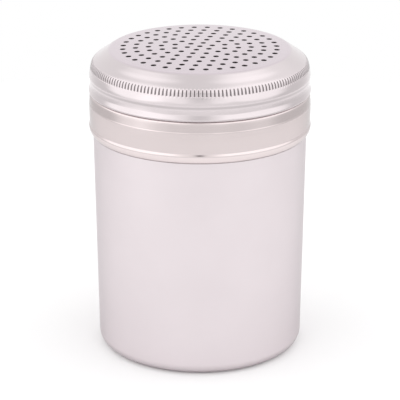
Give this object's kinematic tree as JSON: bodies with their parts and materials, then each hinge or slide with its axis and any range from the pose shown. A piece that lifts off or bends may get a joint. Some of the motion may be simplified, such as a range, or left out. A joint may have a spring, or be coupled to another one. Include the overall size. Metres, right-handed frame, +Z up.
{
  "type": "spice shaker",
  "caption": "Stainless steel table shaker for spice or sugar: a tapered drawn cup with a pressed-on screw collar and a low domed lid perforated in rings.",
  "frame": {"origin": "centre of the base, on the table", "axes": "+Z up along the shaker's axis, -Y towards the viewer of the picture, +X to the viewer's right"},
  "size_m": [0.0702, 0.0702, 0.0983],
  "materials": {
    "satin_steel": "fine satin",
    "polished_steel": "polished"
  },
  "bodies": {
    "shaker": {"body_cup": "satin_steel", "neck_collar": "polished_steel"},
    "lid": {"lid": "polished_steel"}
  },
  "joints": [
    {"name": "lid_lift", "type": "slide", "parent": "shaker", "child": "lid", "axis": [0, 0, 1], "range_m": [0, 0.045]}
  ]
}
